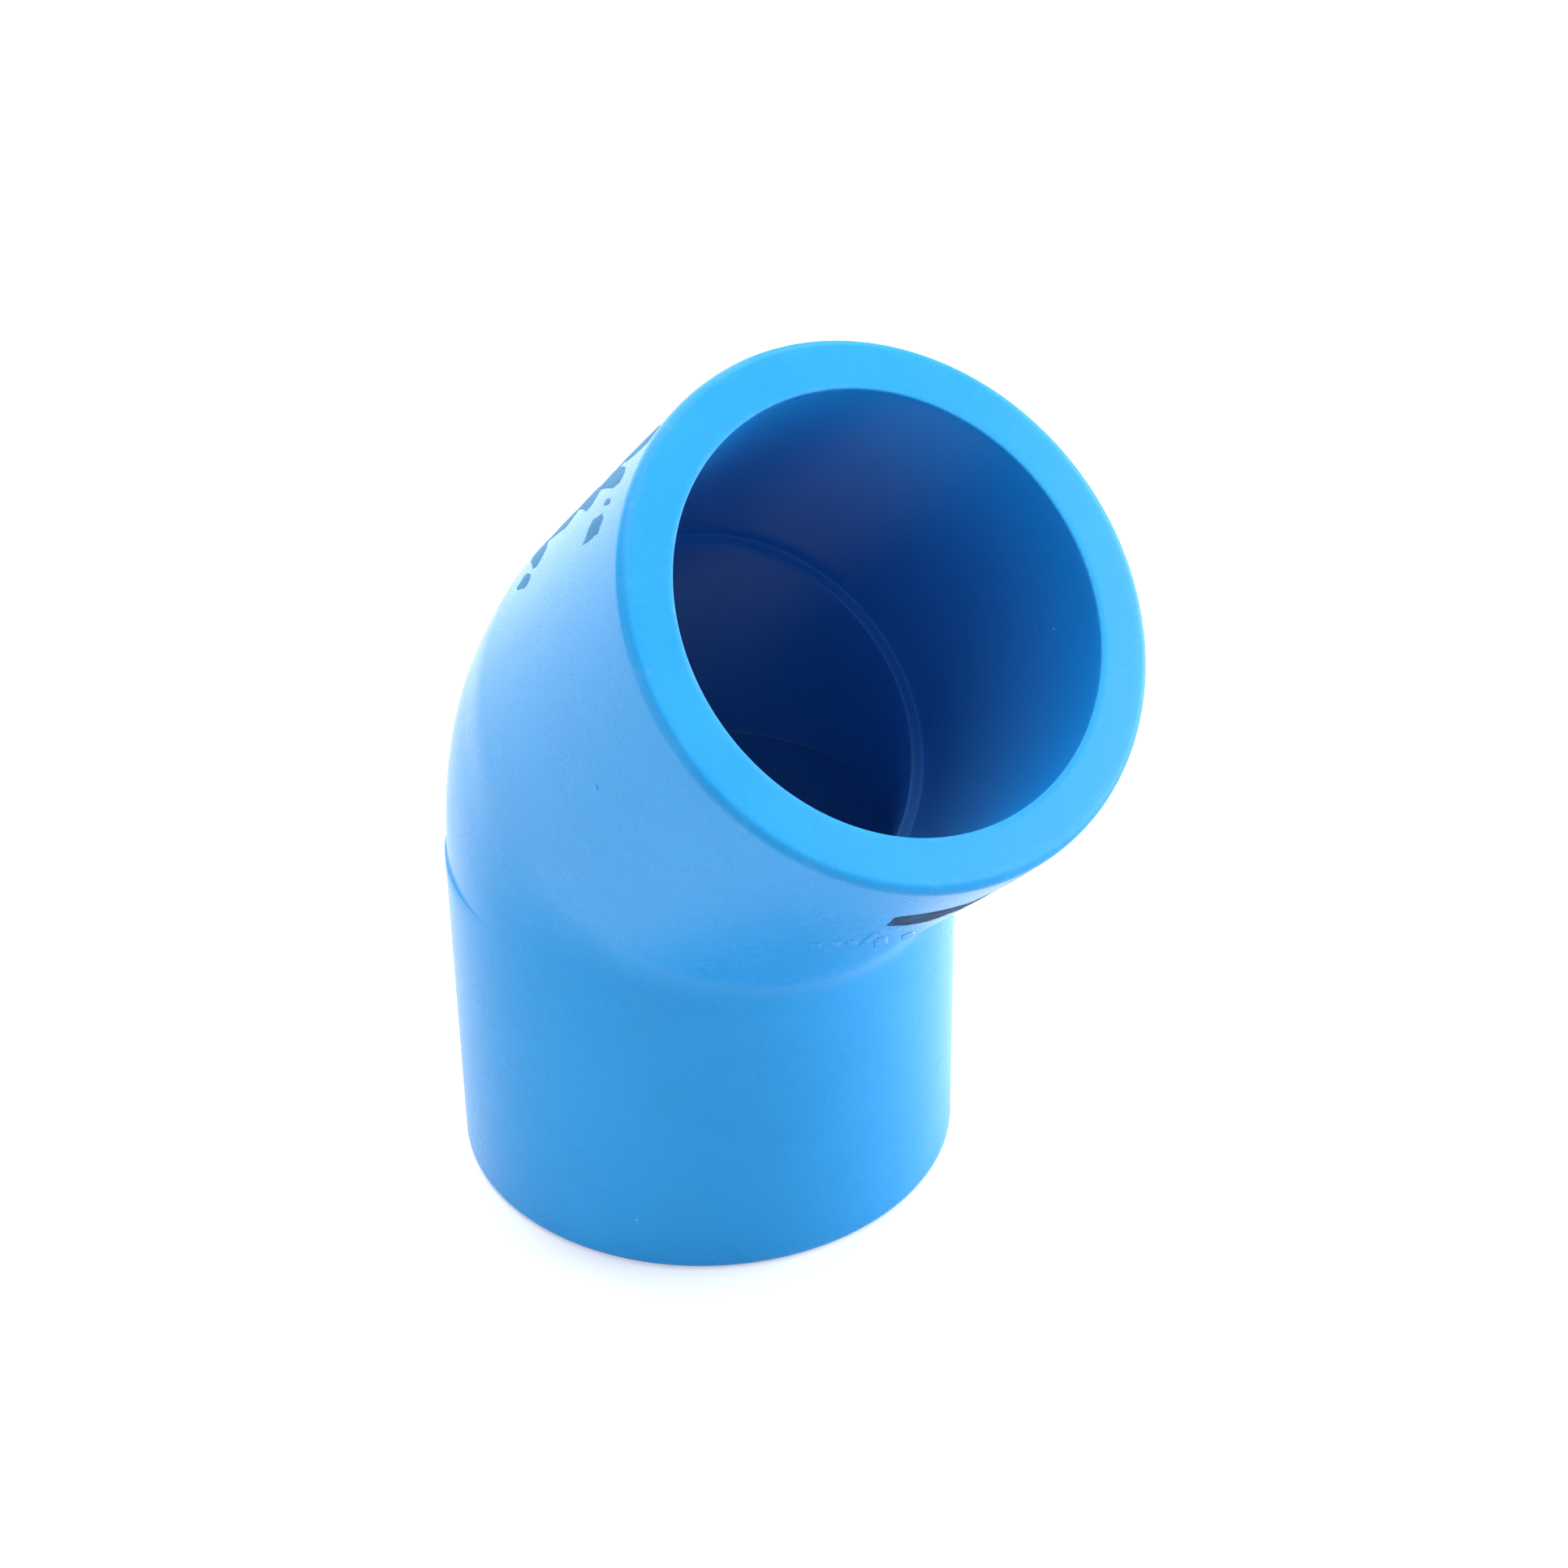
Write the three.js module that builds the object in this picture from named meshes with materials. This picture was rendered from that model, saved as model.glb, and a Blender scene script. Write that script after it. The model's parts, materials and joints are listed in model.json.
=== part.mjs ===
// A 45 degree socket elbow for rigid PVC conduit. Millimetres, +Z up.
//
// The lower leg stands on its mouth along Z and the upper leg leans towards +X, so the
// XZ plane is the mirror plane. The real elbow is one moulding: it is held here as three
// regions, a socket at each end and the bend between them, with a narrow seam at each joint.
// The origin is under the middle of the whole elbow's box, on the lower mouth's face.

import * as THREE from "three";

// Driving dimensions.
const BEND_DEG = 45; // turn from the lower leg to the upper leg
const SOCKET_MOUTH_D = 33.66; // bore at a mouth, for conduit of 33.4 mm outside diameter
const SOCKET_TAPER = 0.39; // loss of bore diameter from the mouth to the stop
const SOCKET_DEPTH = 28.6; // mouth face to conduit stop
const WALL = 4.04; // wall thickness at a mouth
const STOP_HEIGHT = 1.0; // how far the stop stands in from the bottom of the socket
const THROAT_R = 1.6; // fillet in the outside crease along the throat, the inner side of the turn
const WATERWAY_THROAT_R = 1.75; // radius of the waterway along the throat
const RIM_ROUND = 0.7; // rounding of a mouth's outer edge
const LEAD_IN = 0.15; // chamfer of a mouth's inner edge
const SEAM_COLLAR = 2; // straight stretch of each leg that belongs to the bend
const SEAM_GAP = 0.3; // clearance between a socket and the bend

// Fineness of the facets.
const AROUND = 60;
const BEND_STEPS = 10;
const ROUND_STEPS = 4;

// Sizes that follow.
const turn = THREE.MathUtils.degToRad(BEND_DEG);
const outerR = SOCKET_MOUTH_D / 2 + WALL;
const stopBoreR = (SOCKET_MOUTH_D - SOCKET_TAPER) / 2;
const waterwayR = stopBoreR - STOP_HEIGHT;
const mitre = Math.tan(turn / 2);
const bendR = waterwayR + WATERWAY_THROAT_R; // radius of the centreline's turn
const layLength = bendR * mitre; // stop to the crossing of the two axes
const centreToFace = SOCKET_DEPTH + layLength;
const straightLength = centreToFace - (outerR + THROAT_R) * mitre; // a leg's shortest side
const socketEnd = straightLength - SEAM_COLLAR - SEAM_GAP / 2;
const bendStart = straightLength - SEAM_COLLAR + SEAM_GAP / 2;

// Bore radius at a distance in from the mouth face.
function boreR(depth) {
  return THREE.MathUtils.lerp(SOCKET_MOUTH_D / 2, stopBoreR, depth / SOCKET_DEPTH);
}

function pvc(color) {
  return new THREE.MeshStandardMaterial({ color, roughness: 0.32, metalness: 0 });
}

// A socket's wall, turned about Y, with its mouth face at y = 0 and its seam at socketEnd.
function socketGeometry() {
  const wall = [
    new THREE.Vector2(boreR(socketEnd), socketEnd),
    new THREE.Vector2(boreR(LEAD_IN), LEAD_IN),
    new THREE.Vector2(boreR(0) + LEAD_IN, 0),
  ];
  for (let i = 0; i <= ROUND_STEPS; i++) {
    const a = (i / ROUND_STEPS) * (Math.PI / 2);
    wall.push(
      new THREE.Vector2(
        outerR - RIM_ROUND + RIM_ROUND * Math.sin(a),
        RIM_ROUND - RIM_ROUND * Math.cos(a),
      ),
    );
  }
  wall.push(new THREE.Vector2(outerR, socketEnd), wall[0].clone());
  return new THREE.LatheGeometry(wall, AROUND);
}

// A ring is a loop of points round the elbow, one at each angle from the throat side.
function ring(pointAt) {
  return Array.from({ length: AROUND }, (_, j) => pointAt((j / AROUND) * 2 * Math.PI));
}

// A circle square to the centreline: its centre, its tilt and its radius.
function circle(x, z, tilt, r) {
  return ring((a) => {
    const across = r * Math.cos(a);
    return [x + across * Math.cos(tilt), r * Math.sin(a), z - across * Math.sin(tilt)];
  });
}

function lowerCircle(depth, r) {
  return circle(0, depth, 0, r);
}

function upperCircle(depth, r) {
  const reach = centreToFace - depth;
  return circle(reach * Math.sin(turn), centreToFace + reach * Math.cos(turn), turn, r);
}

function waterwayRing(tilt) {
  const x = bendR * (1 - Math.cos(tilt));
  return circle(x, SOCKET_DEPTH + bendR * Math.sin(tilt), tilt, waterwayR);
}

// The outside turns round the same centre as the waterway wherever that leaves room. The
// legs meet in a crease along the throat, which has a small fillet.
function outsideRing(tilt) {
  return ring((a) => {
    const across = outerR * Math.cos(a);
    const r = Math.max(bendR - across, THROAT_R);
    const start = centreToFace - (across + r) * mitre;
    return [across + r * (1 - Math.cos(tilt)), outerR * Math.sin(a), start + r * Math.sin(tilt)];
  });
}

// Rings at equal steps of tilt from a0 to a1.
function bendRings(ringAt, a0, a1) {
  return Array.from({ length: BEND_STEPS + 1 }, (_, i) =>
    ringAt(THREE.MathUtils.lerp(a0, a1, i / BEND_STEPS)),
  );
}

// The closed skin through a loop of rings that goes round the wall: out along the outside
// and back along the inside.
function skinGeometry(rings) {
  const index = [];
  rings.forEach((_, i) => {
    const next = (i + 1) % rings.length;
    for (let j = 0; j < AROUND; j++) {
      const k = (j + 1) % AROUND;
      const corners = [i * AROUND + j, i * AROUND + k, next * AROUND + k, next * AROUND + j];
      index.push(corners[0], corners[1], corners[2]);
      index.push(corners[0], corners[2], corners[3]);
    }
  });
  const geometry = new THREE.BufferGeometry();
  geometry.setAttribute("position", new THREE.Float32BufferAttribute(rings.flat(2), 3));
  geometry.setIndex(index);
  geometry.computeVertexNormals();
  return geometry;
}

function lowerSocket() {
  const mesh = new THREE.Mesh(socketGeometry().rotateX(Math.PI / 2), pvc(0x3a93de));
  mesh.name = "lower_socket";
  return mesh;
}

// Turned end for end, in the frame of the upper leg, whose origin is where the axes cross.
function upperSocket() {
  const mesh = new THREE.Mesh(socketGeometry().rotateX(-Math.PI / 2), pvc(0x46a8ee));
  mesh.name = "upper_socket";
  mesh.position.z = centreToFace;
  const leg = new THREE.Group();
  leg.position.z = centreToFace;
  leg.rotation.y = turn;
  leg.add(mesh);
  return leg;
}

// The bend holds the waterway and both conduit stops.
function bend() {
  const outside = [
    lowerCircle(bendStart, outerR),
    ...bendRings(outsideRing, 0, turn),
    upperCircle(bendStart, outerR),
  ];
  const inside = [
    upperCircle(bendStart, boreR(bendStart)),
    upperCircle(SOCKET_DEPTH, stopBoreR),
    ...bendRings(waterwayRing, turn, 0),
    lowerCircle(SOCKET_DEPTH, stopBoreR),
    lowerCircle(bendStart, boreR(bendStart)),
  ];
  const mesh = new THREE.Mesh(skinGeometry([...outside, ...inside]), pvc(0x3f9ce6));
  mesh.name = "bend";
  return mesh;
}

// How far the upper rim reaches along +X from the lower leg's axis.
function rimReach() {
  const along = (centreToFace - RIM_ROUND) * Math.sin(turn);
  const across = (outerR - RIM_ROUND) * Math.cos(turn);
  return along + across + RIM_ROUND;
}

const elbow = new THREE.Group();
elbow.name = "elbow";
elbow.add(lowerSocket(), bend(), upperSocket());
elbow.position.x = (outerR - rimReach()) / 2;

export default elbow;
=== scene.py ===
"""A 45 degree socket elbow for rigid PVC conduit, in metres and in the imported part's frame.

The lower leg stands on its mouth and the upper leg leans towards +X. The moulding is one
piece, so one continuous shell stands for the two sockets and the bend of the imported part.
The printed and raised marks on the upper leg are plain bars and dots.
"""

import json
import math

import bpy
import numpy as np
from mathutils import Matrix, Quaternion, Vector


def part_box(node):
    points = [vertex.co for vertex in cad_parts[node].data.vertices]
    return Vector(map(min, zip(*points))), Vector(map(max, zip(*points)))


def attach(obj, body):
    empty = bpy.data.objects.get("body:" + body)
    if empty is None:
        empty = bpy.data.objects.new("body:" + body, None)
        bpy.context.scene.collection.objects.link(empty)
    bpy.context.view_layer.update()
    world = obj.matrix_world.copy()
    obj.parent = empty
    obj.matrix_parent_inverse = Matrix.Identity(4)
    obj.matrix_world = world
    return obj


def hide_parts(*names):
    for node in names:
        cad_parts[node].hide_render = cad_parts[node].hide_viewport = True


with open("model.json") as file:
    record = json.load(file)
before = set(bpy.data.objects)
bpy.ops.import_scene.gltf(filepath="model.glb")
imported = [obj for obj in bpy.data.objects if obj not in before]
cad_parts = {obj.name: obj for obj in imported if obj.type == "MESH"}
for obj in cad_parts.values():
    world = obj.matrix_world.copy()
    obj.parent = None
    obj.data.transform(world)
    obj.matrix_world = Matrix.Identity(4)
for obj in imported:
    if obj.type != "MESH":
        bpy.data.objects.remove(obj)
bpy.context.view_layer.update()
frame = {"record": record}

MM = 0.001

# ---------------------------------------------------------------- sizes of the moulding
SOCKET_MOUTH_R = 16.83 * MM    # bore radius at a mouth
STOP_BORE_R = 16.635 * MM      # bore radius where the conduit meets its stop
SOCKET_DEPTH = 28.6 * MM       # mouth face to stop
WATERWAY_R = 15.635 * MM       # the way through the bend
RIM_ROUND = 0.7 * MM           # outer edge of a mouth
LIP_ROUND = 0.15 * MM          # inner edge of a mouth
THROAT_FILLET = 4.2 * MM       # outside crease along the inner side of the turn
THROAT_BLEND = 2.0 * MM        # softening where the crease grows into the heel's turn
STOP_FILLET = 0.20 * MM        # root and edge of the conduit stop
HUB_STEP = 0.22 * MM           # the lower hub stands this much proud of the bend's heel
HUB_STEP_RUN = 0.22 * MM       # length of that step
UPPER_FADE = 6.0 * MM          # the heel comes up level again over this, at the upper hub
STEP_FROM = math.radians(84)   # the step starts this far round from the throat
STEP_FULL = math.radians(112)  # and has its whole height from here on
PARTING_DEPTH = 0.04 * MM      # faint line along the heel where the two mould halves met
PARTING_HALF_WIDTH = 0.16 * MM
PARTING_FADE = 1 / 12          # share of a leg over which the line dies out at its mouth
GATE_RADIUS = 2.4 * MM         # trimmed gate on the heel
GATE_RIM = 0.5 * MM            # width of its sloping rim
GATE_HEIGHT = 0.16 * MM

# How far handling has rubbed the plastic from a mouth's edges.
RUB_OUTSIDE = 0.9 * MM         # along the leg from the outer edge
RUB_FACE = 0.5 * MM            # over the mouth's face from the outer edge
RUB_LIP = 0.25 * MM            # over the face from the inner edge
RUB_BORE = 0.6 * MM            # into the bore
BORE_START = 0.5               # the shell's "inside" value where the bore starts; 1 at the stop

# ---------------------------------------------------------------- sizes from the frame
socket_low, socket_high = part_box("lower_socket")
OUTER_R = (socket_high.x - socket_low.x) / 2
AXIS_X = (socket_high.x + socket_low.x) / 2
mounts = {m["name"]: m for m in frame["record"]["mounts"]}
mouth = Vector(mounts["upper_mouth_rim"]["pos_m"])
upper_axis = Vector(mounts["upper_mouth_rim"]["axis"]).normalized()
TURN = math.atan2(upper_axis.x, upper_axis.z)
MITRE = math.tan(TURN / 2)
CENTRE_TO_FACE = (mouth.dot(upper_axis) - AXIS_X * upper_axis.x) / (1 + upper_axis.z)
BEND_R = (CENTRE_TO_FACE - SOCKET_DEPTH) / MITRE
APEX = np.array([AXIS_X, 0.0, CENTRE_TO_FACE])
UP_LEG = np.array(upper_axis)                                     # along the upper leg
THROAT_SIDE = np.array([math.cos(TURN), 0.0, -math.sin(TURN)])    # across it, to the throat
HEEL_SIDE = np.array([-math.cos(TURN / 2), 0.0, math.sin(TURN / 2)])  # in the mitre plane

# ---------------------------------------------------------------- camera, placed first
VIEW_AZIMUTH = 54.233
VIEW_ELEVATION = 32.720
VIEW_ROLL = 0.753
VIEW_DISTANCE = 248.362 * MM
VIEW_TARGET = Vector((0.620, 1.214, 38.111)) * MM
LENS = 72.95
SENSOR_WIDTH = 36
CLIP_NEAR, CLIP_FAR = 0.01, 20


def direction(azimuth, elevation):
    """Unit vector from the object towards a place at that azimuth and elevation, in degrees."""
    a, e = math.radians(azimuth), math.radians(elevation)
    return Vector((math.sin(a) * math.cos(e), -math.cos(a) * math.cos(e), math.sin(e)))


def add_camera():
    data = bpy.data.cameras.new("camera")
    data.lens = LENS
    data.sensor_width = SENSOR_WIDTH
    data.clip_start, data.clip_end = CLIP_NEAR, CLIP_FAR
    camera = bpy.data.objects.new("camera", data)
    back = direction(VIEW_AZIMUTH, VIEW_ELEVATION)
    camera.location = VIEW_TARGET + back * VIEW_DISTANCE
    camera.rotation_mode = "QUATERNION"
    roll = Quaternion((0, 0, 1), math.radians(-VIEW_ROLL))
    camera.rotation_quaternion = (-back).to_track_quat("-Z", "Y") @ roll
    bpy.context.scene.collection.objects.link(camera)
    bpy.context.scene.camera = camera


# ---------------------------------------------------------------- mesh helpers
def smooth_step(x):
    """0 below 0, 1 above 1, and 3x^2 - 2x^3 between them."""
    x = np.clip(x, 0, 1)
    return x * x * (3 - 2 * x)


def closeness(distance, reach):
    """1 at an edge, and e to the power of minus distance over reach away from it."""
    return np.exp(-distance / reach)


def quarter_turn(steps):
    """Angles from 0 to a right angle in equal steps."""
    return np.linspace(0, math.pi / 2, steps + 1)


def full_turn(steps):
    """Angles all the way round in equal steps, without the repeated last one."""
    return np.linspace(0, 2 * math.pi, steps, endpoint=False)


def ring_quads(rings, columns, closed):
    """Faces between neighbouring rings of points, each ring closed on itself. If closed,
    the last ring also joins the first, like a ring doughnut's skin."""
    rows = rings if closed else rings - 1
    i, j = np.meshgrid(np.arange(rows), np.arange(columns), indexing="ij")
    i2, j2 = (i + 1) % rings, (j + 1) % columns
    corners = [i * columns + j, i * columns + j2, i2 * columns + j2, i2 * columns + j]
    return np.stack(corners, -1).reshape(-1, 4)


def link_object(name, mesh):
    thing = bpy.data.objects.new(name, mesh)
    bpy.context.scene.collection.objects.link(thing)
    return thing


def mesh_object(name, vertices, faces, attributes):
    """A smooth-shaded object of those vertices and faces, with point attributes."""
    mesh = bpy.data.meshes.new(name)
    mesh.from_pydata(vertices.tolist(), [], faces)
    mesh.polygons.foreach_set("use_smooth", np.ones(len(faces), bool))
    for key, values in attributes.items():
        layer = mesh.attributes.new(key, "FLOAT", "POINT")
        layer.data.foreach_set("value", values.astype(np.float32))
    mesh.validate()
    return link_object(name, mesh)


# ---------------------------------------------------------------- the shell
AROUND = 288           # steps round the section
BEND_STEPS = 56        # rings along the outside of the bend
BEND_CROWDING = 0.85   # how much closer they are at both ends of it
WATERWAY_STEPS = 28    # rings along its inside
LEG_STEPS = 26         # rings along the outside of a leg
LEG_CROWDING = 1.4     # power that draws them towards the mouth
BORE_STEPS = 34
RIM_STEPS = 8          # outer edge of a mouth
FACE_STEPS = 7         # flat of a mouth
FILLET_STEPS = 4       # lip and stop
PARTING_COLUMNS = np.array([0.5, 1.0, 1.5, 2.2])  # extra ones, in half widths of the line


def around_angles():
    """Even steps round the section from the throat, with extra ones at the parting line."""
    even = np.linspace(-math.pi, math.pi, AROUND, endpoint=False)
    near = PARTING_COLUMNS * PARTING_HALF_WIDTH / OUTER_R
    every = np.concatenate([even, near - math.pi, -near - math.pi]) % (2 * math.pi)
    return np.unique(np.round(every, 9)) - math.pi


def lower_leg(depth, radius, a):
    """A point of the lower leg: that far in from its mouth, at that radius and angle."""
    return np.stack([AXIS_X + radius * np.cos(a), radius * np.sin(a), depth + 0 * a], -1)


def upper_leg(depth, radius, a):
    """The same for the leaning leg, the lower leg's mirror image in the mitre plane."""
    along = (CENTRE_TO_FACE - depth + 0 * a)[..., None] * UP_LEG
    across = (radius * np.cos(a))[..., None] * THROAT_SIDE
    return APEX + along + across + (radius * np.sin(a))[..., None] * np.array([0.0, 1.0, 0.0])


def turn_radius(a):
    """How sharply the outside turns at an angle. The turn is round the bend's own centre,
    bend radius less the distance across. Where that falls below the throat fillet, the
    fillet takes over by a smooth maximum, so the legs meet there in a soft crease."""
    spare = BEND_R - OUTER_R * np.cos(a) - THROAT_FILLET
    return THROAT_FILLET + (spare + np.sqrt(spare**2 + THROAT_BLEND**2)) / 2


def bend_outside(tilt, a):
    """Each lengthwise line of the outside turns on an arc of its own turn radius, which
    touches the line on both legs. Also gives how far the point is along that arc."""
    r = turn_radius(a)
    across = OUTER_R * np.cos(a)
    start = CENTRE_TO_FACE - (across + r) * MITRE
    x = AXIS_X + across + r * (1 - np.cos(tilt))
    return np.stack([x, OUTER_R * np.sin(a), start + r * np.sin(tilt)], -1), r * tilt


def bend_normal(tilt, a):
    """The outward direction of a section that is tilted that far."""
    return np.stack([np.cos(a) * np.cos(tilt), np.sin(a), -np.cos(a) * np.sin(tilt)], -1)


def parting_line(a):
    """A shallow line along the heel: its depth falls off as a bell to each side."""
    away = (math.pi - np.abs(a)) * OUTER_R
    return PARTING_DEPTH * np.exp(-((away / PARTING_HALF_WIDTH) ** 2))


def gate_mark(points):
    """The trimmed gate: a low disc in the middle of the heel, whose rim slopes off smoothly."""
    offset = points - APEX
    outward = offset @ HEEL_SIDE
    sideways = np.linalg.norm(offset - outward[..., None] * HEEL_SIDE, axis=-1)
    return GATE_HEIGHT * smooth_step((GATE_RADIUS - sideways) / GATE_RIM) * (outward > 0)


def half_loop(leg, a):
    """Rings of one leg from the start of its turn, out over the mouth, to the stop inside:
    a straight line, a quarter circle, the flat face, a small quarter circle, a tapered line
    and a last quarter circle. Gives the points, the closeness to a mouth's edges, and how
    far inside they are: up to BORE_START over the lip, growing to 1 at the stop."""
    rings, edge, inside = [], [], []

    def add(depth, radius, near_edge, within=0.0):
        rings.append(leg(depth + 0 * a, radius + 0 * a, a))
        edge.append(near_edge + 0 * a)
        inside.append(within + 0 * a)

    start = CENTRE_TO_FACE - (OUTER_R * np.cos(a) + turn_radius(a)) * MITRE
    for share in np.linspace(1, 0, LEG_STEPS) ** LEG_CROWDING:
        depth = RIM_ROUND + share * (start - RIM_ROUND)
        line = parting_line(a) * smooth_step(share / PARTING_FADE)
        add(depth, OUTER_R - line, closeness(depth - RIM_ROUND, RUB_OUTSIDE))

    for t in quarter_turn(RIM_STEPS)[1:]:
        add(RIM_ROUND * (1 - math.sin(t)), OUTER_R - RIM_ROUND * (1 - math.cos(t)), 1.0)

    face_out, face_in = OUTER_R - RIM_ROUND, SOCKET_MOUTH_R + LIP_ROUND
    for radius in np.linspace(face_out, face_in, FACE_STEPS + 1)[1:-1]:
        near_rim = closeness(face_out - radius, RUB_FACE)
        near_lip = closeness(radius - face_in, RUB_LIP)
        add(0.0, radius, max(near_rim, near_lip))

    for t in quarter_turn(FILLET_STEPS):
        radius = SOCKET_MOUTH_R + LIP_ROUND * (1 - math.sin(t))
        add(LIP_ROUND * (1 - math.cos(t)), radius, 1.0, BORE_START * t / (math.pi / 2))

    for share in np.linspace(0, 1, BORE_STEPS)[1:]:
        depth = LIP_ROUND + share * (SOCKET_DEPTH - STOP_FILLET - LIP_ROUND)
        radius = SOCKET_MOUTH_R + (STOP_BORE_R - SOCKET_MOUTH_R) * depth / SOCKET_DEPTH
        add(depth, radius, closeness(depth, RUB_BORE), BORE_START + (1 - BORE_START) * share)

    for t in quarter_turn(FILLET_STEPS)[1:]:
        depth = SOCKET_DEPTH - STOP_FILLET * (1 - math.sin(t))
        add(depth, STOP_BORE_R - STOP_FILLET * (1 - math.cos(t)), 0.0, 1.0)
    return rings, edge, inside


def waterway(tilt, a):
    """The way through: circles square to a centreline that turns at the bend radius."""
    centre_x = AXIS_X + BEND_R * (1 - math.cos(tilt))
    centre_z = SOCKET_DEPTH + BEND_R * math.sin(tilt)
    across = WATERWAY_R * np.cos(a)
    x, z = centre_x + across * math.cos(tilt), centre_z - across * math.sin(tilt)
    return np.stack([x, WATERWAY_R * np.sin(a), z], -1)


def stop_edge(leg, a):
    """The rounded inner edge of a conduit stop, a quarter circle from its face inwards."""
    rings = []
    for t in quarter_turn(FILLET_STEPS)[:-1]:
        depth = SOCKET_DEPTH + STOP_FILLET * (1 - math.cos(t))
        radius = WATERWAY_R + STOP_FILLET * (1 - math.sin(t))
        rings.append(leg(depth + 0 * a, radius + 0 * a, a))
    return rings


def bend_rings(a):
    """The outside of the bend. Its heel is let in by the hub's step, comes up level again at
    the upper hub, and carries the gate and the parting line. The rings are spaced as x less
    a share of sin(2 pi x) / (2 pi)."""
    step_height = HUB_STEP * smooth_step((np.abs(a) - STEP_FROM) / (STEP_FULL - STEP_FROM))
    even = np.linspace(0, 1, BEND_STEPS + 1)
    spaced = even - BEND_CROWDING * np.sin(2 * math.pi * even) / (2 * math.pi)
    rings = []
    for tilt in spaced[1:-1] * TURN:
        points, along = bend_outside(tilt, a)
        to_end = turn_radius(a) * TURN - along
        down = step_height * smooth_step(along / HUB_STEP_RUN) * smooth_step(to_end / UPPER_FADE)
        proud = gate_mark(points) - parting_line(a) - down
        rings.append(points + proud[:, None] * bend_normal(tilt, a))
    return rings


def waterway_rings(a):
    """From the upper stop down to the lower one, starting past each stop's rounded edge."""
    first = STOP_FILLET / BEND_R
    tilts = np.clip(np.linspace(TURN, 0, WATERWAY_STEPS + 1), first, TURN - first)
    through = [waterway(tilt, a) for tilt in tilts]
    return stop_edge(upper_leg, a) + through + stop_edge(lower_leg, a)[::-1]


def elbow_shell():
    """One closed skin: round the section one way, and round the wall the other way, over
    the lower mouth, up the outside, over the upper mouth and back down the inside."""
    a = around_angles()
    lower_rings, lower_edge, lower_inside = half_loop(lower_leg, a)
    upper_rings, upper_edge, upper_inside = half_loop(upper_leg, a)
    middle, way = bend_rings(a), waterway_rings(a)
    none, full = np.zeros(a.size), np.ones(a.size)

    rings = lower_rings[::-1] + middle + upper_rings + way
    edge = lower_edge[::-1] + [none] * len(middle) + upper_edge + [none] * len(way)
    inside = lower_inside[::-1] + [none] * len(middle) + upper_inside + [full] * len(way)
    return mesh_object(
        "elbow_shell",
        np.concatenate(rings),
        ring_quads(len(rings), a.size, closed=True).tolist(),
        {"edge": np.concatenate(edge), "inside": np.concatenate(inside)},
    )


# ---------------------------------------------------------------- marks on the upper leg
MARK_SINK = 0.03 * MM  # how far a mark's underside lies in the wall
MARK_AROUND = 40       # points round a mark
MARK_RINGS = 6         # rings from its outline to just short of its middle

# The waves of a mark's rippled outline: share, lobes, and how fast its angle shifts them.
MARK_WAVES = [(0.6, 3, 1), (0.4, 7, 40)]


def flat_outline(length, width, angle, ripple):
    """A rounded bar: a superellipse of the fourth power, with a slow ripple of a few lobes."""
    t = full_turn(MARK_AROUND)
    wave = sum(share * np.sin(lobes * t + shift * angle) for share, lobes, shift in MARK_WAVES)
    along = length / 2 * np.sign(np.cos(t)) * np.sqrt(np.abs(np.cos(t)))
    across = width / 2 * np.sign(np.sin(t)) * np.sqrt(np.abs(np.sin(t)))
    return np.stack([along, across], -1) * (1 + ripple * wave)[:, None]


def bar_mark(depth, angle, length, width, slant, height, ripple):
    """A low pillow of rounded-bar outline, wrapped on the upper leg. Its top rises as the
    square root of one less the fourth power of the share of the way out from the middle.
    Its underside is the same outline, sunk in the wall. Gives points and faces."""
    share = np.linspace(1, 0, MARK_RINGS + 1)[:-1]
    flat = share[:, None, None] * flat_outline(length, width, angle, ripple)
    rise = height * np.sqrt(1 - share**4) - MARK_SINK * (share == 1)
    c, s = math.cos(slant), math.sin(slant)

    def on_leg(flat, level):
        run = flat[..., 0] * c - flat[..., 1] * s
        side = flat[..., 0] * s + flat[..., 1] * c
        return upper_leg(depth + run, OUTER_R + level, angle + side / OUTER_R)

    skin = on_leg(flat, np.broadcast_to(rise[:, None], flat.shape[:2])).reshape(-1, 3)
    peak_and_base = on_leg(np.zeros((2, 2)), np.array([height, -MARK_SINK]))
    peak, base = len(skin), len(skin) + 1

    k = np.arange(MARK_AROUND)
    k2 = (k + 1) % MARK_AROUND
    innermost = (MARK_RINGS - 1) * MARK_AROUND
    top_fan = np.stack([innermost + k, innermost + k2, np.full(k.size, peak)], -1)
    base_fan = np.stack([k2, k, np.full(k.size, base)], -1)
    sides = ring_quads(MARK_RINGS, MARK_AROUND, closed=False)
    return np.concatenate([skin, peak_and_base]), [sides, top_fan, base_fan]


def marks_object(name, rows, edge=0.0):
    """Several marks as one object. A row gives the depth and angle of a mark's middle, its
    length, width, slant, height and ripple, in millimetres and degrees."""
    all_points, faces, start = [], [], 0
    for depth, angle, length, width, slant, height, ripple in rows:
        points, patches = bar_mark(
            depth * MM,
            math.radians(angle),
            length * MM,
            width * MM,
            math.radians(slant),
            height * MM,
            ripple,
        )
        all_points.append(points)
        for patch in patches:
            faces += (patch + start).tolist()
        start += len(points)
    return mesh_object(name, np.concatenate(all_points), faces, {"edge": np.full(start, edge)})


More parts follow.
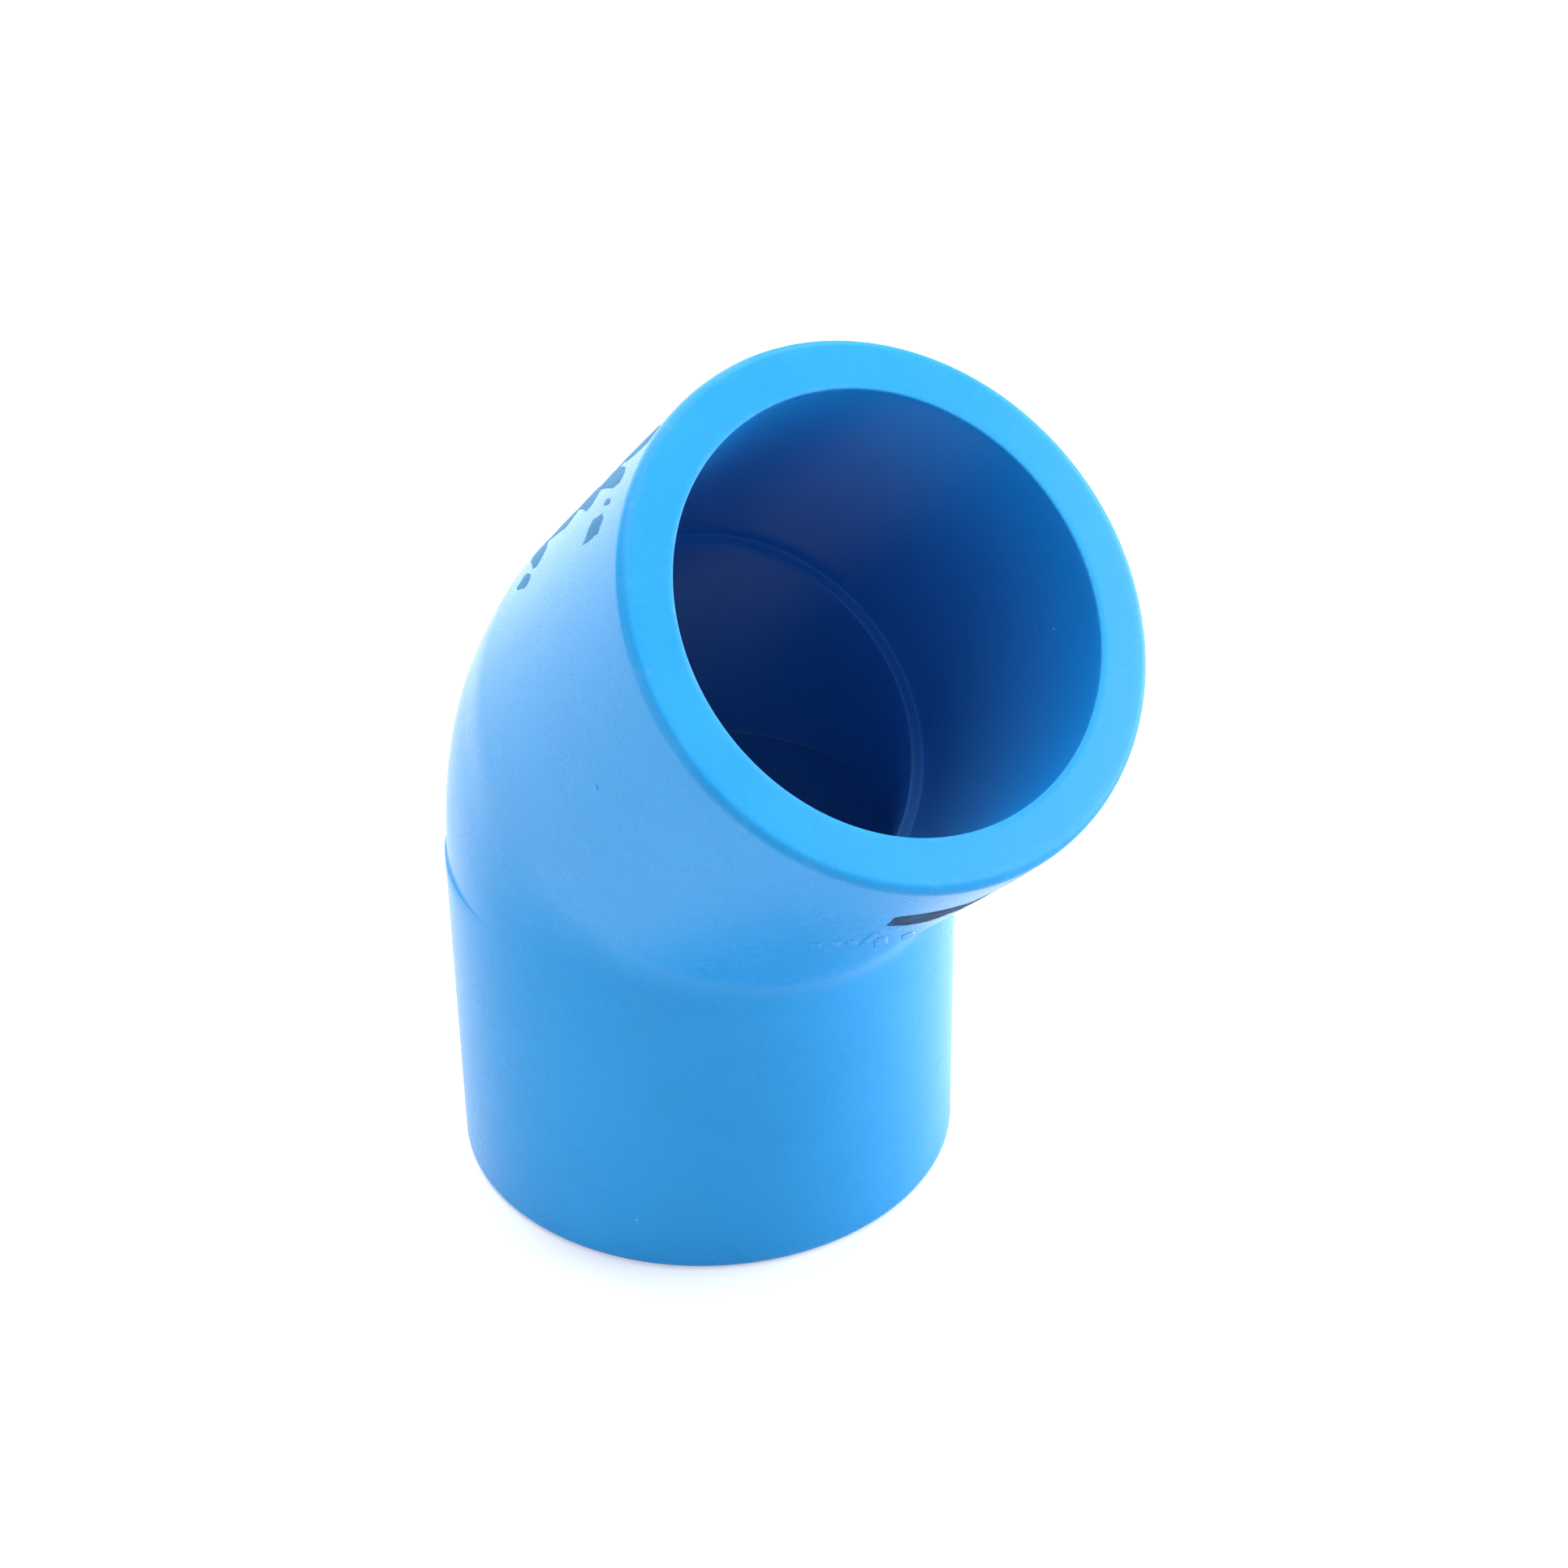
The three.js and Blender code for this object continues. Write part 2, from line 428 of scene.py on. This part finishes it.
FLANK_PRINT = [
    (4.4, -150.9, 2.5, 7.0, 78, 0.04, 0.08),
    (8.9, -153.6, 1.7, 5.0, 84, 0.04, 0.08),
    (8.8, -147.6, 2.2, 10.6, 64, 0.04, 0.10),
    (14.5, -150.0, 9.0, 2.4, 152, 0.04, 0.12),
    (20.4, -151.2, 7.6, 2.6, 166, 0.04, 0.10),
    (24.2, -147.8, 2.4, 7.6, 54, 0.04, 0.12),
    (23.7, -139.3, 1.5, 3.8, 68, 0.04, 0.14),
    (6.9, -132.6, 2.1, 3.6, 82, 0.04, 0.18),
    (5.6, -137.2, 0.6, 2.0, 66, 0.04, 0.06),
]
THROAT_PRINT = [
    (8.0, 1.2, 16.8, 4.2, 87, 0.04, 0.05),
    (3.8, 9.2, 3.4, 5.4, 0, 0.04, 0.06),
]
THROAT_RAISED = [
    (15.0, -26.0, 1.1, 2.2, 114, 0.08, 0.06),
    (14.0, -22.6, 0.9, 2.2, 116, 0.08, 0.06),
    (13.7, -19.4, 0.9, 2.2, 116, 0.08, 0.06),
    (12.8, -16.7, 0.7, 4.6, 100, 0.08, 0.05),
    (14.8, -11.2, 4.8, 1.2, 28, 0.08, 0.06),
    (14.8, -4.6, 3.6, 1.2, 30, 0.08, 0.06),
    (13.0, -83.6, 0.5, 0.4, 20, 0.06, 0.10),
]


# ---------------------------------------------------------------- shader node helpers
def new_group(name, inputs, outputs):
    """An empty shader group with float or vector inputs and outputs."""
    group = bpy.data.node_groups.new(name, "ShaderNodeTree")
    for label, kind, value in inputs:
        socket = group.interface.new_socket(label, in_out="INPUT", socket_type=kind)
        if value is not None:
            socket.default_value = value
    for label, kind in outputs:
        group.interface.new_socket(label, in_out="OUTPUT", socket_type=kind)
    return group, group.nodes.new("NodeGroupInput"), group.nodes.new("NodeGroupOutput")


def node(tree, kind, **settings):
    made = tree.nodes.new(kind)
    for key, value in settings.items():
        setattr(made, key, value)
    return made


def put(tree, socket, value):
    """Links value to socket if it is a socket, or else sets it."""
    if isinstance(value, bpy.types.NodeSocket):
        tree.links.new(value, socket)
    else:
        socket.default_value = value


def calc(tree, operation, a, b):
    made = node(tree, "ShaderNodeMath", operation=operation)
    put(tree, made.inputs[0], a)
    put(tree, made.inputs[1], b)
    return made.outputs[0]


def noise(tree, vector, scale, detail, roughness=0.5):
    made = node(tree, "ShaderNodeTexNoise")
    put(tree, made.inputs["Vector"], vector)
    put(tree, made.inputs["Scale"], scale)
    put(tree, made.inputs["Detail"], detail)
    put(tree, made.inputs["Roughness"], roughness)
    return made.outputs["Fac"]


def ramp(tree, value, low, high, to_low=0.0, to_high=1.0):
    """Value's smooth step from low to high, as a number from to_low to to_high."""
    made = node(tree, "ShaderNodeMapRange", interpolation_type="SMOOTHSTEP")
    put(tree, made.inputs["Value"], value)
    put(tree, made.inputs["From Min"], low)
    put(tree, made.inputs["From Max"], high)
    put(tree, made.inputs["To Min"], to_low)
    put(tree, made.inputs["To Max"], to_high)
    return made.outputs["Result"]


def stretched(tree, vector, scale):
    made = node(tree, "ShaderNodeMapping")
    put(tree, made.inputs["Vector"], vector)
    put(tree, made.inputs["Scale"], scale)
    return made.outputs["Vector"]


def mix_colour(tree, share, a, b):
    """Colour a with that share of colour b."""
    made = node(tree, "ShaderNodeMix", data_type="RGBA")
    put(tree, made.inputs[0], share)
    put(tree, made.inputs[6], a)
    put(tree, made.inputs[7], b)
    return made.outputs[2]


def place_group(tree, group, **values):
    made = node(tree, "ShaderNodeGroup", node_tree=group)
    for key, value in values.items():
        put(tree, made.inputs[key.replace("_", " ")], value)
    return made.outputs


# ---------------------------------------------------------------- shader node groups
# Noise scales, in waves per metre.
SPECKLE_SCALE = 3200.0
PEEL_SCALE = 420.0
GRAIN_SCALE = 5200.0
HAIRLINES_ONE_WAY = (190.0, 3100.0, 2600.0)
HAIRLINES_OTHER_WAY = (2900.0, 2500.0, 150.0)
HANDLED_PATCH_SCALE = 70.0
WEAR_PATCH_SCALE = 230.0
WEAR_GRAIN_SCALE = 1900.0
DUST_CELL_SCALE = 520.0
DUST_PATCH_SCALE = 180.0


def make_pigment_cloud():
    """Slow cloudy variation of the pigment, 0 to 1, with a fine speckle over it."""
    group, source, sink = new_group(
        "pigment cloud",
        [("Position", "NodeSocketVector", None), ("Size mm", "NodeSocketFloat", 9.0)],
        [("Cloud", "NodeSocketFloat"), ("Speckle", "NodeSocketFloat")],
    )
    scale = calc(group, "DIVIDE", 1 / MM, source.outputs["Size mm"])
    cloud = noise(group, source.outputs["Position"], scale, 4.0, 0.55)
    speckle = noise(group, source.outputs["Position"], SPECKLE_SCALE, 2.0, 0.6)
    group.links.new(ramp(group, cloud, 0.3, 0.7), sink.inputs["Cloud"])
    group.links.new(ramp(group, speckle, 0.35, 0.75), sink.inputs["Speckle"])
    return group


def make_moulded_skin():
    """The mould's print on the plastic: a slow orange peel, a fine grain and their sum."""
    group, source, sink = new_group(
        "moulded skin",
        [
            ("Position", "NodeSocketVector", None),
            ("Peel", "NodeSocketFloat", 0.5),
            ("Grain", "NodeSocketFloat", 0.5),
        ],
        [("Height", "NodeSocketFloat"), ("Grain", "NodeSocketFloat")],
    )
    peel = noise(group, source.outputs["Position"], PEEL_SCALE, 2.0)
    grain = noise(group, source.outputs["Position"], GRAIN_SCALE, 3.0, 0.6)
    slow = calc(group, "MULTIPLY", peel, source.outputs["Peel"])
    fine = calc(group, "MULTIPLY", grain, source.outputs["Grain"])
    group.links.new(calc(group, "ADD", slow, fine), sink.inputs["Height"])
    group.links.new(grain, sink.inputs["Grain"])
    return group


def make_hairlines():
    """Sparse fine scratches in two directions, and a mask of where handling left them."""
    group, source, sink = new_group(
        "handling hairlines",
        [("Position", "NodeSocketVector", None), ("Amount", "NodeSocketFloat", 0.5)],
        [("Mask", "NodeSocketFloat")],
    )
    place = source.outputs["Position"]
    one = noise(group, stretched(group, place, HAIRLINES_ONE_WAY), 1.0, 2.0, 0.4)
    other = noise(group, stretched(group, place, HAIRLINES_OTHER_WAY), 1.0, 2.0, 0.4)
    patch = ramp(group, noise(group, place, HANDLED_PATCH_SCALE, 2.0), 0.48, 0.66)
    lines = calc(group, "MAXIMUM", ramp(group, one, 0.69, 0.76), ramp(group, other, 0.7, 0.77))
    shown = calc(group, "MULTIPLY", lines, patch)
    group.links.new(calc(group, "MULTIPLY", shown, source.outputs["Amount"]), sink.inputs["Mask"])
    return group


def make_edge_wear_and_highlight():
    """Rubbed edges, and a painted highlight on pieces whose edge value is 1 all over: closeness
    to an edge, broken up by two sizes of noise.
    """
    group, source, sink = new_group(
        "edge wear and highlight",
        [
            ("Position", "NodeSocketVector", None),
            ("Edge", "NodeSocketFloat", 0.0),
            ("Amount", "NodeSocketFloat", 0.5),
        ],
        [("Mask", "NodeSocketFloat")],
    )
    place = source.outputs["Position"]
    coarse = ramp(group, noise(group, place, WEAR_PATCH_SCALE, 3.0, 0.6), 0.45, 0.75)
    fine = ramp(group, noise(group, place, WEAR_GRAIN_SCALE, 3.0, 0.6), 0.38, 0.62)
    broken = calc(group, "MULTIPLY", coarse, fine)
    wear_and_highlight = calc(group, "MULTIPLY", broken, ramp(group, source.outputs["Edge"], 0.35, 0.95))
    group.links.new(calc(group, "MULTIPLY", wear_and_highlight, source.outputs["Amount"]), sink.inputs["Mask"])
    return group


def make_dust():
    """Small pale specks, thinly scattered."""
    group, source, sink = new_group(
        "dust specks",
        [("Position", "NodeSocketVector", None), ("Amount", "NodeSocketFloat", 0.5)],
        [("Mask", "NodeSocketFloat")],
    )
    place = source.outputs["Position"]
    cells = node(group, "ShaderNodeTexVoronoi", feature="F1")
    put(group, cells.inputs["Vector"], place)
    put(group, cells.inputs["Scale"], DUST_CELL_SCALE)
    size = ramp(group, noise(group, place, DUST_PATCH_SCALE, 1.0), 0.62, 0.85, 0.0, 0.10)
    spot = calc(group, "LESS_THAN", cells.outputs["Distance"], size)
    group.links.new(calc(group, "MULTIPLY", spot, source.outputs["Amount"]), sink.inputs["Mask"])
    return group


# ---------------------------------------------------------------- materials
BLUE = (0.021, 0.332, 0.770, 1)
BLUE_DEEP = (0.018, 0.314, 0.740, 1)
BLUE_PALE = (0.026, 0.360, 0.800, 1)
# Paler rubbed blue for rubbed mouths and scratches; over the raised marks it is also a painted
# highlight.
RUBBED_AND_HIGHLIGHT_BLUE = (0.12, 0.42, 0.84, 1)
# Painted shade for the bore: a deeper blue over the lip and bore wall, and a greyer dark blue
# towards the stop, standing in for the dim inside.
BORE_PAINTED_SHADE = (0.010, 0.215, 0.590, 1)
DEPTHS_PAINTED_SHADE = (0.075, 0.290, 0.600, 1)
DUST = (0.62, 0.74, 0.86, 1)
INK = (0.022, 0.030, 0.075, 1)
INK_THIN = (0.040, 0.130, 0.280, 1)
WASHED_INK = (0.055, 0.220, 0.420, 1)
WASHED_INK_THIN = (0.110, 0.300, 0.520, 1)
FLOOR_PALE = (0.80, 0.80, 0.81, 1)
PLASTIC_IOR = 1.28
INK_ROUGHNESS = 0.50


def new_material(name):
    material = bpy.data.materials.new(name)
    material.use_nodes = True
    tree = material.node_tree
    shader = tree.nodes["Principled BSDF"]
    place = node(tree, "ShaderNodeTexCoord").outputs["Object"]
    return material, tree, shader, place


def attribute(tree, name):
    return node(tree, "ShaderNodeAttribute", attribute_name=name).outputs["Fac"]


def add_bump(tree, shader, height, strength, distance):
    bump = node(tree, "ShaderNodeBump")
    bump.inputs["Strength"].default_value = strength
    bump.inputs["Distance"].default_value = distance
    put(tree, bump.inputs["Height"], height)
    tree.links.new(bump.outputs["Normal"], shader.inputs["Normal"])


def weighed_sum(tree, first, parts):
    """First plus each part's mask times its weight."""
    total = first
    for mask, weight in parts:
        total = calc(tree, "ADD", total, calc(tree, "MULTIPLY", mask, weight))
    return total


def blue_pvc(groups):
    """Glossy injection-moulded PVC: pigment cloud and speckle in the colour, orange peel and
    grain in the surface, rubbed mouths, hairline scratches and a little dust. The paler rubbed
    blue also lies over the raised marks as a painted highlight. The bore carries painted shade:
    a deeper blue from the lip in, and greyer towards the stop, standing in for the dim inside."""
    material, tree, shader, place = new_material("blue moulded PVC")
    edge, inside = attribute(tree, "edge"), attribute(tree, "inside")
    cloud = place_group(tree, groups["pigment"], Position=place, Size_mm=11.0)
    skin = place_group(tree, groups["skin"], Position=place, Peel=1.0, Grain=0.22)
    lines = place_group(tree, groups["hairlines"], Position=place, Amount=0.22)["Mask"]
    wear_and_highlight = place_group(tree, groups["wear"], Position=place, Edge=edge, Amount=0.32)["Mask"]
    dust = place_group(tree, groups["dust"], Position=place, Amount=0.4)["Mask"]

    colour = mix_colour(tree, cloud["Cloud"], BLUE_DEEP, BLUE)
    colour = mix_colour(tree, calc(tree, "MULTIPLY", cloud["Speckle"], 0.35), colour, BLUE_PALE)
    # Painted shade: the bore darkens from the lip in and turns greyer towards the stop.
    colour = mix_colour(tree, ramp(tree, inside, 0.0, BORE_START, 0.0, 0.8), colour, BORE_PAINTED_SHADE)
    colour = mix_colour(tree, ramp(tree, inside, BORE_START, 1.0, 0.0, 0.8), colour, DEPTHS_PAINTED_SHADE)
    colour = mix_colour(tree, calc(tree, "MULTIPLY", lines, 0.25), colour, RUBBED_AND_HIGHLIGHT_BLUE)
    # Rubbed mouths, and a painted highlight over the raised marks, whose edge value is 1 all
    # over.
    colour = mix_colour(tree, wear_and_highlight, colour, RUBBED_AND_HIGHLIGHT_BLUE)
    colour = mix_colour(tree, dust, colour, DUST)
    tree.links.new(colour, shader.inputs["Base Color"])

    clear = ramp(tree, cloud["Cloud"], 0.0, 1.0, 0.23, 0.26)
    dulled = [(skin["Grain"], 0.06), (lines, 0.16), (wear_and_highlight, 0.25), (inside, 0.06)]
    tree.links.new(weighed_sum(tree, clear, dulled), shader.inputs["Roughness"])
    shader.inputs["IOR"].default_value = PLASTIC_IOR

    height = weighed_sum(tree, skin["Height"], [(lines, -0.5), (wear_and_highlight, -0.6)])
    add_bump(tree, shader, height, 0.13, 0.05 * MM)
    return material


def printed_ink(groups, name, thick, thin, gloss):
    """Marking ink, thinner in patches and rougher than the plastic under it."""
    material, tree, shader, place = new_material(name)
    cloud = place_group(tree, groups["pigment"], Position=place, Size_mm=1.6)
    skin = place_group(tree, groups["skin"], Position=place, Peel=0.4, Grain=1.0)
    colour = mix_colour(tree, calc(tree, "MULTIPLY", cloud["Cloud"], 0.7), thick, thin)
    tree.links.new(colour, shader.inputs["Base Color"])
    rough = weighed_sum(tree, INK_ROUGHNESS, [(skin["Grain"], 0.2)])
    tree.links.new(rough, shader.inputs["Roughness"])
    shader.inputs["Specular IOR Level"].default_value = gloss
    add_bump(tree, shader, skin["Height"], 0.4, 0.03 * MM)
    return material


def seen_or_mirrored(tree):
    """1 for rays from the camera and for those that gloss or glass sends on, or else 0."""
    rays = node(tree, "ShaderNodeLightPath").outputs
    seen = calc(tree, "MAXIMUM", rays["Is Camera Ray"], rays["Is Glossy Ray"])
    return calc(tree, "MAXIMUM", seen, rays["Is Transmission Ray"])


def floor_white():
    """A pale floor that keeps the elbow's shadow and turns white further away."""
    material, tree, shader, place = new_material("white floor")
    shader.inputs["Base Color"].default_value = FLOOR_PALE
    shader.inputs["Roughness"].default_value = 0.9
    shader.inputs["Specular IOR Level"].default_value = 0.0
    distance = node(tree, "ShaderNodeVectorMath", operation="LENGTH")
    put(tree, distance.inputs[0], place)
    level = ramp(tree, distance.outputs["Value"], SHADOW_REACH, WHITE_FROM, FLOOR_GLOW, 1.0)
    glow = node(tree, "ShaderNodeEmission")
    put(tree, glow.inputs["Strength"], calc(tree, "MULTIPLY", seen_or_mirrored(tree), level))
    both = node(tree, "ShaderNodeAddShader")
    tree.links.new(shader.outputs["BSDF"], both.inputs[0])
    tree.links.new(glow.outputs["Emission"], both.inputs[1])
    tree.links.new(both.outputs[0], tree.nodes["Material Output"].inputs["Surface"])
    return material


# ---------------------------------------------------------------- stage and light
FLOOR_RADII = np.array([3.0, 1.2, 0.4, 0.1, 0.02])
FLOOR_AROUND = 96
FLOOR_GLOW = 0.39    # of the floor round the elbow
SHADOW_REACH = 0.10  # the glow grows from this far out
WHITE_FROM = 0.60    # and is full from here on
WORLD_LEVEL = 0.12   # light from all round

# Name, azimuth from the view's, elevation, distance, width, height and brightness.
PANELS = [
    ("overhead softbox", 180, 78, 0.55, 0.70, 0.60, 3.0),
    ("left panel", -149, 28, 0.50, 0.42, 0.50, 2.25),
    ("right panel", 98, 14, 0.50, 0.45, 0.50, 6.3),
    ("front fill", -50, 16, 0.60, 0.60, 0.55, 1.70),
]


def add_floor():
    """A flat disc under the elbow, as rings of points in towards the middle."""
    t = full_turn(FLOOR_AROUND)
    x, y = FLOOR_RADII[:, None] * np.cos(t), FLOOR_RADII[:, None] * np.sin(t)
    faces = ring_quads(FLOOR_RADII.size, FLOOR_AROUND, closed=False).tolist()
    innermost = (FLOOR_RADII.size - 1) * FLOOR_AROUND
    faces.append(list(range(innermost, innermost + FLOOR_AROUND)))
    mesh = bpy.data.meshes.new("floor")
    mesh.from_pydata(np.stack([x, y, 0 * x], -1).reshape(-1, 3).tolist(), [], faces)
    floor = link_object("floor", mesh)
    floor.data.materials.append(floor_white())


def add_panel(name, azimuth, elevation, distance, width, height, brightness):
    """A soft rectangular lamp that faces the elbow, as bright as that many times white."""
    data = bpy.data.lights.new(name, "AREA")
    data.shape = "RECTANGLE"
    data.size, data.size_y = width, height
    data.energy = brightness * math.pi * width * height
    lamp = bpy.data.objects.new(name, data)
    away = direction(VIEW_AZIMUTH + azimuth, elevation)
    lamp.location = Vector((0, 0, CENTRE_TO_FACE)) + away * distance
    lamp.rotation_mode = "QUATERNION"
    lamp.rotation_quaternion = away.to_track_quat("Z", "Y")
    bpy.context.scene.collection.objects.link(lamp)


def add_world():
    """Even soft light all round, seen as white by the camera and in reflections."""
    world = bpy.data.worlds.new("white surroundings")
    bpy.context.scene.world = world
    world.use_nodes = True
    tree = world.node_tree
    level = ramp(tree, seen_or_mirrored(tree), 0.0, 1.0, WORLD_LEVEL, 1.0)
    background = tree.nodes["Background"]
    background.inputs["Color"].default_value = (1, 1, 1, 1)
    tree.links.new(level, background.inputs["Strength"])


# ---------------------------------------------------------------- put it together
def finish_piece(piece, material):
    piece.data.materials.append(material)
    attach(piece, "root")


add_camera()
add_floor()
add_world()
for panel in PANELS:
    add_panel(*panel)

groups = {
    "pigment": make_pigment_cloud(),
    "skin": make_moulded_skin(),
    "hairlines": make_hairlines(),
    "wear": make_edge_wear_and_highlight(),
    "dust": make_dust(),
}
plastic = blue_pvc(groups)
ink = printed_ink(groups, "dark marking ink", INK, INK_THIN, gloss=0.04)
washed_ink = printed_ink(groups, "washed marking ink", WASHED_INK, WASHED_INK_THIN, gloss=0.03)

shell = elbow_shell()
finish_piece(shell, plastic)
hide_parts("lower_socket", "bend", "upper_socket")
# An edge value of 1 lays the paler rubbed blue over the whole of these marks: partly rub and
# partly a painted highlight.
finish_piece(marks_object("throat_raised_marks", THROAT_RAISED, edge=1.0), plastic)
finish_piece(marks_object("flank_print", FLANK_PRINT), washed_ink)
finish_piece(marks_object("throat_print", THROAT_PRINT), ink)

bpy.context.scene.view_settings.view_transform = "Standard"
